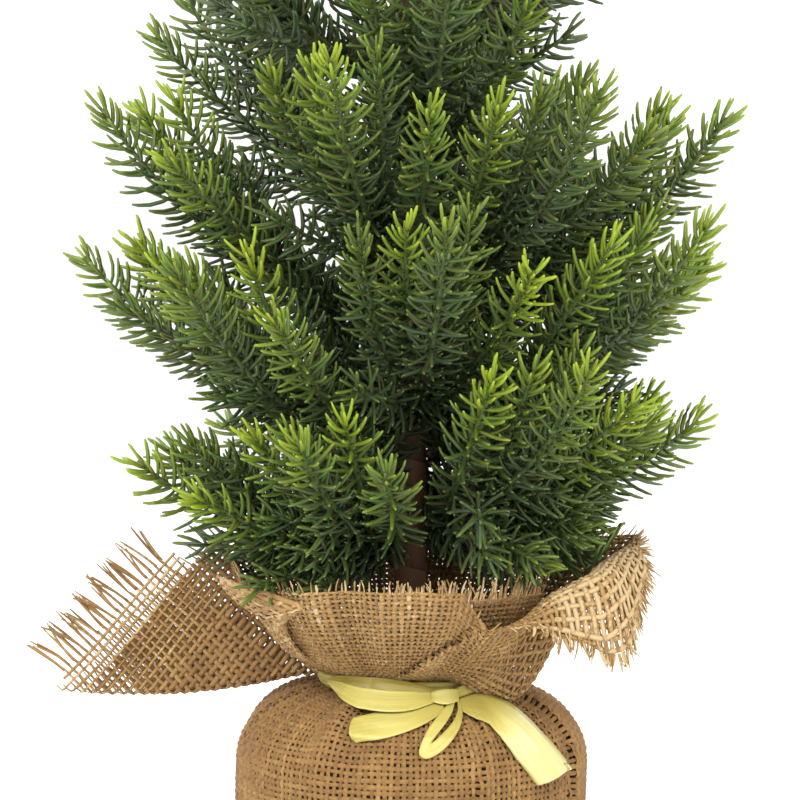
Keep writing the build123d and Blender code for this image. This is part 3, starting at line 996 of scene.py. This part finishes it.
# The free corner, flat in its own plane before its yarns are bent: where the frayed edge starts, the
# directions along that edge and into the cloth, and the fold it hangs from, as x and z seen from the front
CORNER_TURN = 8.0
CORNER_TIP = np.array([-0.1180, 0.1085])
ALONG_EDGE = unit([0.655, 0.755])
INTO_CLOTH = unit([0.755, -0.655])
FOLD_START = np.array([-0.116, 0.1020])
FOLD_END = np.array([-0.040, 0.1075])
CORNER_PITCH = 0.00245
CORNER_WIDTH = 0.056
CORNER_DEPTH = 0.088
LAYER_GAP = 0.0013
LEFT_CENTRE_X = RIM_CENTRE_X * 0.7


def corner_surface(a, b):
    """Points and normals of the free corner: a along its frayed edge, b into the cloth, in metres.
    What lies below the fold is turned up behind the rest."""
    flat = CORNER_TIP + a[..., None] * ALONG_EDGE + b[..., None] * INTO_CLOTH
    fold = unit(FOLD_END - FOLD_START)
    upward = np.array([-fold[1], fold[0]])
    height = (flat - FOLD_START) @ upward
    soft = np.sqrt(height**2 + 0.0009**2)
    flat = flat + (soft - height)[..., None] * upward
    layer = np.tanh(height / 0.0012)
    x, z = flat[..., 0], flat[..., 1]
    middle = (x + 0.078) / 0.040
    z = z - 0.0045 * np.clip(1 - middle**2, 0, None) * np.exp(-np.clip(z - 0.104, 0, None) / 0.02)
    spread = np.arctan2(z - 0.108, -(x + 0.020))
    depth = -layer * LAYER_GAP + 0.0016 * np.sin(9 * spread + 1.1) * smooth((-x - 0.045) / 0.05)
    depth = depth - 0.010 * smooth((-x - 0.070) / 0.060) ** 2
    turn = math.radians(CORNER_TURN)
    c, s = math.cos(turn), math.sin(turn)
    points = np.stack([x * c + depth * s, -x * s + depth * c, z], axis=-1)
    facing = np.array([s, c, 0.0])
    edge_on = np.sqrt(1 - layer**2)
    down = np.array([0.0, 0.0, -1.0])
    normals = -layer[..., None] * facing + edge_on[..., None] * down
    return points, unit(normals)


def left_radius(height):
    """The collar's radius on the left."""
    heights = [NECK_TOP, 0.122, 0.138, 0.145, 0.20]
    return np.interp(height, heights, [NECK_RADIUS, 0.044, 0.059, 0.063, 0.075])


def outside_collar(points):
    """Whether points are clear of the collar's own surface on the left."""
    return np.hypot(points[..., 0] - LEFT_CENTRE_X, points[..., 1]) > left_radius(points[..., 2]) - 0.001


def longest_run(keep):
    """The start and end of the longest stretch of True."""
    edges = np.flatnonzero(np.diff(np.concatenate([[False], keep, [False]]).astype(int)))
    if len(edges) == 0:
        return 0, 0
    starts, ends = edges[::2], edges[1::2]
    best = (ends - starts).argmax()
    return starts[best], ends[best]


def burlap_corner():
    cloth, fringe = Bundle(), Bundle()
    step = CORNER_PITCH / 2
    for parallel in (True, False):
        span, reach = (CORNER_DEPTH, CORNER_WIDTH) if parallel else (CORNER_WIDTH, CORNER_DEPTH)
        for index in range(1, int(span / CORNER_PITCH)):
            along = np.arange(0, reach + step, step)
            at = index * CORNER_PITCH + 0.11 * CORNER_PITCH * wander((1, len(along)), 8)[0]
            a, b = (along, at) if parallel else (at, along)
            points, normals = corner_surface(a, b)
            over = np.cos(math.pi * (along / CORNER_PITCH + index)) * (1 if parallel else -1)
            paths = points + normals * (CRIMP * over)[:, None]
            first, last = longest_run(outside_collar(points))
            if last - first < 4:
                continue
            dense = smooth((b[first:last] - 0.018) / 0.014)
            width = (0.00048 + 0.00046 * dense) * (1 + 0.15 * wander((1, last - first), 5)[0])
            path = paths[None, first:last]
            across = np.cross(normals[None, first:last], unit(np.gradient(path, axis=1)))
            tone = 0.40 + 0.22 * (1 - dense) + 0.12 * wander((1, last - first), 12) + random.normal(0, 0.08)
            tone = np.clip(tone, 0, 1)
            cloth.add(path, width[None], sides=4, across=across, flat=0.5, tone=tone)
            if not parallel:
                add_corner_thread(fringe, index)
    add_edge_threads(fringe)
    return cloth.piece("burlap_corner_cloth"), fringe.piece("burlap_corner_fringe")


def add_corner_thread(bundle, index):
    """The loose end of one yarn past the frayed edge. Three neighbours at a time lean together in a tuft."""
    middle = (index // 3 * 3 + 1) * CORNER_PITCH
    for _ in range(3):
        length = random.uniform(0.0115, 0.0155)
        t = np.linspace(0, 1, 9)
        lean = 0.72 * (middle - index * CORNER_PITCH) + random.normal(0, 0.0007)
        a = index * CORNER_PITCH + random.normal(0, 0.00025) + lean * t**1.6
        points, normals = corner_surface(a, 0.001 - length * t)
        points = points + normals * (random.normal(0, 0.0012) * t**2)[:, None]
        width = random.uniform(0.00026, 0.0004) * (1 + 0.25 * np.sin(math.pi * t) - 0.35 * t**2)
        bundle.add(points[None], width[None], sides=4, tone=random.uniform(0.3, 0.75))


def add_edge_threads(bundle):
    """The loose ends along the corner's other edge, on its back layer."""
    for index in range(2, int(CORNER_DEPTH / CORNER_PITCH)):
        b = index * CORNER_PITCH
        t = np.linspace(0, 1, 6)
        length = random.uniform(0.004, 0.008)
        points, normals = corner_surface(0.001 - length * t, b + random.normal(0, 0.0008) * t)
        if not outside_collar(points).all():
            continue
        width = random.uniform(0.00026, 0.0004) * (1 - 0.45 * t**2)
        bundle.add(points[None], width[None], sides=4, tone=random.uniform(0.3, 0.6))


# The lightest stop is reached by the pale frayed ends and by the painted light on the right flap.
JUTE = [
    (0.25, (0.125, 0.056, 0.015)),
    (0.60, (0.245, 0.130, 0.037)),
    (0.90, (0.350, 0.205, 0.066)),
    (1.0, (0.510, 0.360, 0.175)),
]


def burlap_material():
    made, nodes, links, shader = material("jute")
    fibre = add_noise(nodes, links, 900)
    patch = add_noise(nodes, links, 60, detail=2.0)
    fine = calculate(nodes, links, "MULTIPLY_ADD", fibre, 0.55, point_value(nodes, "tone"))
    whole = calculate(nodes, links, "MULTIPLY_ADD", patch, 0.35, fine)
    lightness = calculate(nodes, links, "SUBTRACT", whole, 0.25)
    links.new(colour_by(nodes, links, lightness, JUTE), shader.inputs["Base Color"])
    shader.inputs["Roughness"].default_value = 0.9
    shader.inputs["Sheen Weight"].default_value = 0.08
    add_bump(nodes, links, shader, fibre, 0.5, 0.0002)
    return made


jute = burlap_material()
sack = burlap_sack()
collar, collar_columns = burlap_collar()
collar_edge = collar_fringe(collar_columns)
inner, inner_edge = burlap_inner_layer()
corner, corner_edge = burlap_corner()
flap, flap_edge = collar_flap()
for piece in (sack, collar, collar_edge, inner, inner_edge, corner, corner_edge, flap, flap_edge):
    piece.data.materials.append(jute)
    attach(piece, "base")
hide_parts("burlap_sack")
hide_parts("burlap_collar")

# ---------------------------------------------------------------- raffia

# Each ribbon is given by its two edges, as x and z in millimetres seen from the front, by how far it
# stands off the cloth at each of their points, and by how light it is there. The points are chosen
# after the photograph
MM = 0.001
# The lightness listed last for each ribbon paints in its light and shade: darker where a ribbon lies in
# shadow, as on the right tail before its bend, and lighter where it faces the light.
RIBBONS = {
    "loop_back": (
        [(-27, 111.2), (-23, 113.0), (-16, 113.8), (-6, 113.4), (2, 112.0), (9, 109.8)],
        [(-27, 110.4), (-23, 109.4), (-16, 109.0), (-6, 108.6), (2, 108.2), (9, 108.0)],
        [4.4, 3.6, 3.0, 2.6, 2.6, 3.0],
        [0.45, 0.30, 0.25, 0.30, 0.35, 0.40],
    ),
    "loop_front": (
        [(-27, 111.2), (-22.5, 111.6), (-16, 111.0), (-8, 110.4), (0, 110.2), (9, 109.6)],
        [(-27, 110.4), (-22.5, 107.4), (-16, 105.4), (-8, 104.9), (0, 105.3), (9, 107.3)],
        [4.4, 5.0, 5.4, 5.4, 5.0, 4.4],
        [0.45, 0.60, 0.75, 0.75, 0.65, 0.50],
    ),
    "left_tail": (
        [(11, 107.4), (5, 106.2), (-1, 105.0), (-9.5, 104.3), (-18.4, 102.8)],
        [(10.8, 104.6), (6.6, 102.6), (0.6, 100.2), (-7.6, 98.0), (-17.6, 96.0)],
        [3.6, 3.0, 2.4, 2.6, 3.0],
        [0.45, 0.55, 0.70, 0.75, 0.55],
    ),
    "hanging_loop": (
        [
            (13.6, 107.6), (9.8, 104.4), (5.9, 100.6), (3.5, 96.4), (2.9, 93.2), (5.4, 92.0),
            (9.9, 94.2), (13.6, 97.6), (16.2, 101.4), (16.8, 104.6), (15.8, 107.6),
        ],
        [
            (14.6, 107.5), (13.4, 104.2), (10.0, 100.4), (7.7, 98.0), (6.9, 96.9), (7.0, 96.6),
            (8.0, 97.3), (10.9, 99.6), (13.8, 102.3), (15.3, 104.7), (15.2, 107.5),
        ],
        [4.4, 3.8, 3.2, 2.8, 2.4, 2.4, 3.0, 3.8, 4.6, 4.8, 4.6],
        [0.55, 0.65, 0.70, 0.75, 0.70, 0.70, 0.70, 0.60, 0.50, 0.45, 0.45],
    ),
    "right_tail": (
        [(16, 107.6), (20.5, 108.4), (25.5, 107.9), (33.6, 104.4), (40, 99.2), (46.6, 91.8), (52.8, 83.4)],
        [(17, 104.4), (20.5, 102.8), (25.6, 100.6), (30.6, 95.2), (34.0, 90.2), (37.4, 85.8), (41.0, 80.4)],
        [4.4, 4.2, 4.0, 3.6, 2.6, 2.2, 2.4],
        [0.40, 0.45, 0.50, 0.95, 1.0, 1.0, 1.0],
    ),
    "knot": (
        [(6.8, 109.9), (9, 110.6), (12, 110.8), (15.8, 110.2)],
        [(6.8, 107.4), (9, 107.0), (12, 106.7), (15.8, 107.0)],
        [5.0, 6.2, 6.4, 4.8],
        [0.60, 0.80, 0.80, 0.55],
    ),
    "band_end": (
        [(14.5, 110.2), (19, 111.6), (23, 112.4), (27, 112.6)],
        [(14.5, 107.6), (19, 108.2), (23, 108.8), (27, 109.2)],
        [4.2, 3.0, 2.2, 1.8],
        [0.55, 0.70, 0.75, 0.60],
    ),
}
RIBBON_ROWS = 12  # rows of points from one given point to the next
RIBBON_COLUMNS = 13
RIBBON_THICKNESS = 0.00032
BAND_RADIUS = NECK_RADIUS + 0.0014


def through(points, count):
    """Points on the Catmull-Rom curve through given points, count of them for each span."""
    points = np.asarray(points, float)
    if points.ndim == 1:
        points = points[:, None]
    ends = np.concatenate([[2 * points[0] - points[1]], points, [2 * points[-1] - points[-2]]])
    t = (np.arange(count) / count)[:, None]
    made = []
    for a, b, c, d in zip(ends, ends[1:], ends[2:], ends[3:]):
        made.append(b + 0.5 * t * (c - a + t * (2 * a - 5 * b + 4 * c - d + t * (3 * (b - c) + d - a))))
    return np.concatenate([*made, points[-1:]])


def resting_radius(height):
    """How far from the trunk's axis a ribbon lies on the cloth: it bridges the corner under the neck."""
    heights = [0.076, 0.082, 0.086, 0.090, 0.094, 0.098, 0.102, 0.106, 0.1085, 0.1125]
    radii = [0.0555, 0.0555, 0.0551, 0.0539, 0.0517, 0.0484, 0.0430, 0.0350, 0.0310, 0.0280]
    return np.interp(height, heights, radii)


def add_grid(bundle, points, **values):
    """An open sheet of points (rows, columns, 3), with values (rows, columns)."""
    rows, columns = points.shape[:2]
    i, j = np.meshgrid(np.arange(rows - 1), np.arange(columns - 1), indexing="ij")
    a = bundle.count + i * columns + j
    bundle.points.append(points.reshape(-1, 3))
    bundle.quads.append(np.stack([a, a + 1, a + columns + 1, a + columns], axis=-1).reshape(-1, 4))
    for key, value in values.items():
        bundle.values.setdefault(key, []).append(np.broadcast_to(value, (rows, columns)).ravel())
    bundle.count += rows * columns


def creases(across, along, depth):
    """Lengthwise creases of a ribbon: waves across it that drift along it."""
    drift = 0.5 * np.sin(along * 0.9 + random.uniform(0, 6))
    first = np.sin(2 * math.pi * (1.6 * across + 0.16 * drift) + random.uniform(0, 6))
    second = np.sin(2 * math.pi * (3.7 * across - 0.3 * drift) + random.uniform(0, 6))
    return depth * (0.7 * first + 0.3 * second)


def add_ribbon(bundle, name):
    upper, lower, off, light = RIBBONS[name]
    upper, lower = through(upper, RIBBON_ROWS) * MM, through(lower, RIBBON_ROWS) * MM
    # light carries the ribbon's painted light and shade into its tone
    off, light = through(off, RIBBON_ROWS)[:, 0] * MM, through(light, RIBBON_ROWS)[:, 0]
    across = np.linspace(0, 1, RIBBON_COLUMNS)[None]
    along = np.arange(len(upper))[:, None] / RIBBON_ROWS
    flat = upper[:, None] * (1 - across[..., None]) + lower[:, None] * across[..., None]
    width = np.linalg.norm(upper - lower, axis=1)[:, None]
    stand = off[:, None] + width * 0.10 * (1 - (2 * across - 1) ** 2)
    stand = stand + creases(across, along, 0.045 * np.minimum(width, 0.008))
    if name == "left_tail":
        # the torn end is crumpled, with one corner turned forward
        crumple = smooth((along - 2.9) / 1.1)
        stand = stand + crumple * 0.0013 * np.sin(8 * across + 2.4 * along)
        flat = flat - (crumple * np.sin(math.pi * across) * 0.0017)[..., None] * np.array([1.0, 0.0])
    if name == "right_tail":
        # one lengthwise fold, which the bend starts
        stand = stand + 0.0011 * smooth((along - 2.4) / 0.6) * (1 - np.abs(across - 0.45) / 0.55)
    x, z = flat[..., 0], flat[..., 1]
    radius = resting_radius(z) + stand
    y = -np.sqrt(np.clip(radius**2 - x**2, 0.000004, None))
    azimuth = np.degrees(np.arctan2(y, x)) % 360
    lifts = np.stack([sack_lift(azimuth + turn, z) for turn in (-5, -2.5, 0, 2.5, 5)])
    radius = radius + np.clip(lifts.max(axis=0), 0, None)
    y = -np.sqrt(np.clip(radius**2 - x**2, 0.000004, None))
    run = np.broadcast_to(along * 0.25, x.shape)
    add_grid(bundle, np.stack([x, y, z], axis=-1), tone=light[:, None], across=across, along=run)


def add_band(bundle):
    """The two turns round the neck, one a little over the other."""
    turn = np.linspace(0, 2 * math.pi, 145)[:, None]
    across = np.linspace(0, 1, RIBBON_COLUMNS)[None]
    for bottom, top, off in ((0.1068, 0.1104, 0.0), (0.1088, 0.1122, 0.0009)):
        radius = BAND_RADIUS + off + 0.0007 * (1 - (2 * across - 1) ** 2)
        radius = radius + creases(across, turn * 3, 0.00045)
        height = bottom + (top - bottom) * across + 0.0004 * np.sin(2 * turn + 9 * off)
        points = np.stack([radius * np.cos(turn), radius * np.sin(turn), height + 0 * turn], axis=-1)
        add_grid(bundle, points, tone=0.45, across=across, along=turn * 1.1)


RAFFIA = [
    (0.30, (0.290, 0.215, 0.035)),
    (0.70, (0.500, 0.430, 0.110)),
    (0.97, (0.600, 0.560, 0.220)),
    (1.0, (0.660, 0.640, 0.340)),
]
FIBRES = (26, 1.6, 1)  # how much finer the raffia's grain is across it and along it


def raffia_material():
    made, nodes, links, shader = material("satin_raffia")
    place = nodes.new("ShaderNodeCombineXYZ")
    links.new(point_value(nodes, "across"), place.inputs["X"])
    links.new(point_value(nodes, "along"), place.inputs["Y"])
    scaled = nodes.new("ShaderNodeVectorMath")
    scaled.operation = "MULTIPLY"
    scaled.inputs[1].default_value = FIBRES
    links.new(place.outputs["Vector"], scaled.inputs[0])
    fibre = add_noise(nodes, links, 1.0, 4.0, scaled.outputs["Vector"])
    mixed = calculate(nodes, links, "MULTIPLY_ADD", fibre, 0.5, point_value(nodes, "tone"))
    lightness = calculate(nodes, links, "MULTIPLY", mixed, 0.76)
    links.new(colour_by(nodes, links, lightness, RAFFIA), shader.inputs["Base Color"])
    shader.inputs["Roughness"].default_value = 0.36
    shader.inputs["Anisotropic"].default_value = 0.4
    add_bump(nodes, links, shader, fibre, 0.5, 0.00025)
    return made


def raffia_ribbon():
    bundle = Bundle()
    for name in RIBBONS:
        add_ribbon(bundle, name)
    add_band(bundle)
    piece = bundle.piece("raffia_ribbon")
    thickness = piece.modifiers.new("thickness", "SOLIDIFY")
    thickness.thickness = RIBBON_THICKNESS
    thickness.offset = 0.0
    piece.data.materials.append(raffia_material())
    return piece


raffia = raffia_ribbon()
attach(raffia, "base")
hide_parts("raffia_tie")

# ---------------------------------------------------------------- the fold at the left

# Between the free corner and the collar the cloth is rolled outwards. Like a ribbon, this fold is given by
# its two edges, as x and z in millimetres seen from the front. Unlike a ribbon's, all 18 points are the
# output of a scratch program, which put places read off the photograph into millimetres
FOLD_UPPER = [
    (-62.6, 145.4), (-55.5, 145.0), (-46.8, 143.9), (-35.6, 140.9), (-37.4, 137.9), (-40.5, 133.4),
    (-38.6, 126.8), (-34.5, 120.9), (-28.7, 115.3),
]
FOLD_LOWER = [
    (-63.2, 143.7), (-59.8, 140.4), (-54.6, 137.0), (-49.4, 134.7), (-46.5, 131.1), (-45.0, 127.5),
    (-42.2, 123.2), (-37.7, 118.6), (-31.6, 114.0),
]
FOLD_STAND = 0.0048
FOLD_FRONT = 0.017
FOLD_BULGE = 0.16
FOLD_TONE = 0.66


def fold_surface(u, v):
    """Points and outward normals of the fold: u counts the given points along it, v goes across it."""
    edges = [through(edge, RIBBON_ROWS) * MM for edge in (FOLD_UPPER, FOLD_LOWER)]
    at = np.arange(len(edges[0])) / RIBBON_ROWS

    def place(u, v):
        (x, z), (other_x, other_z) = ([np.interp(u, at, edge[:, i]) for i in (0, 1)] for edge in edges)
        width = np.hypot(x - other_x, z - other_z)
        x, z = x * (1 - v) + other_x * v, z * (1 - v) + other_z * v
        radius = left_radius(z) + FOLD_STAND
        y = -np.sqrt(np.maximum(radius**2 - (x - LEFT_CENTRE_X) ** 2, FOLD_FRONT**2))
        return np.stack([x, y - FOLD_BULGE * width * (1 - (2 * v - 1) ** 2), z], axis=-1)

    u = np.clip(u, 0, len(FOLD_UPPER) - 1)
    points = place(u, v)
    inwards = np.where(u > 1, -0.02, 0.02)
    normals = unit(np.cross(place(u, v + 0.02) - points, place(u + inwards, v) - points))
    return points, -normals * np.sign(normals[..., 1:2])


def burlap_fold():
    bundle = Bundle()
    columns, rows = np.linspace(0, len(FOLD_UPPER) - 1, 23), np.linspace(0, 1, 7)
    weave(bundle, fold_surface, columns, rows, False, YARN_HALF_WIDTH, add_round_yarns, FOLD_TONE)
    return bundle.piece("burlap_left_fold")


fold = burlap_fold()
fold.data.materials.append(jute)
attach(fold, "base")

# ---------------------------------------------------------------- stage


def add_floor():
    size = 6.0
    corners = [(-size, -size, 0), (size, -size, 0), (size, size, 0), (-size, size, 0)]
    floor = new_piece("floor", corners, [np.array([[0, 1, 2, 3]])])
    made, _, _, shader = material("pale_floor")
    shader.inputs["Base Color"].default_value = (0.86, 0.86, 0.86, 1)
    shader.inputs["Roughness"].default_value = 0.9
    floor.data.materials.append(made)


def add_light(name, place, size, power):
    lamp = bpy.data.lights.new(name, "AREA")
    lamp.shape = "DISK"
    lamp.size = size
    lamp.energy = power
    obj = bpy.data.objects.new(name, lamp)
    bpy.context.scene.collection.objects.link(obj)
    obj.location = place
    aim = np.array([0, 0, 0.25]) - np.array(place)
    obj.rotation_mode = "QUATERNION"
    obj.rotation_quaternion = Vector(aim).to_track_quat("-Z", "Y")


def add_world():
    world = bpy.data.worlds.new("studio")
    bpy.context.scene.world = world
    world.use_nodes = True
    world.node_tree.nodes["Background"].inputs["Color"].default_value = (1, 1, 1, 1)
    world.node_tree.nodes["Background"].inputs["Strength"].default_value = 1.2


def add_camera():
    camera = bpy.data.cameras.new("camera")
    camera.sensor_width = SENSOR
    camera.lens = SENSOR / 2 / (VIEW_WIDTH / 2 / VIEW_DISTANCE)
    obj = bpy.data.objects.new("camera", camera)
    bpy.context.scene.collection.objects.link(obj)
    e = math.radians(VIEW_ELEVATION)
    obj.location = VIEW_CENTRE + VIEW_DISTANCE * np.array([0, -math.cos(e), math.sin(e)])
    obj.rotation_euler = (math.radians(90 - VIEW_ELEVATION), 0, 0)
    bpy.context.scene.camera = obj


add_floor()
add_world()
add_light("key", (-0.7, -0.9, 1.1), 0.6, 16.0)
add_light("fill", (0.9, -0.8, 0.7), 0.8, 8.0)
add_light("back", (0.2, 1.0, 1.0), 0.8, 8.0)
add_camera()
bpy.context.scene.view_settings.view_transform = "Standard"
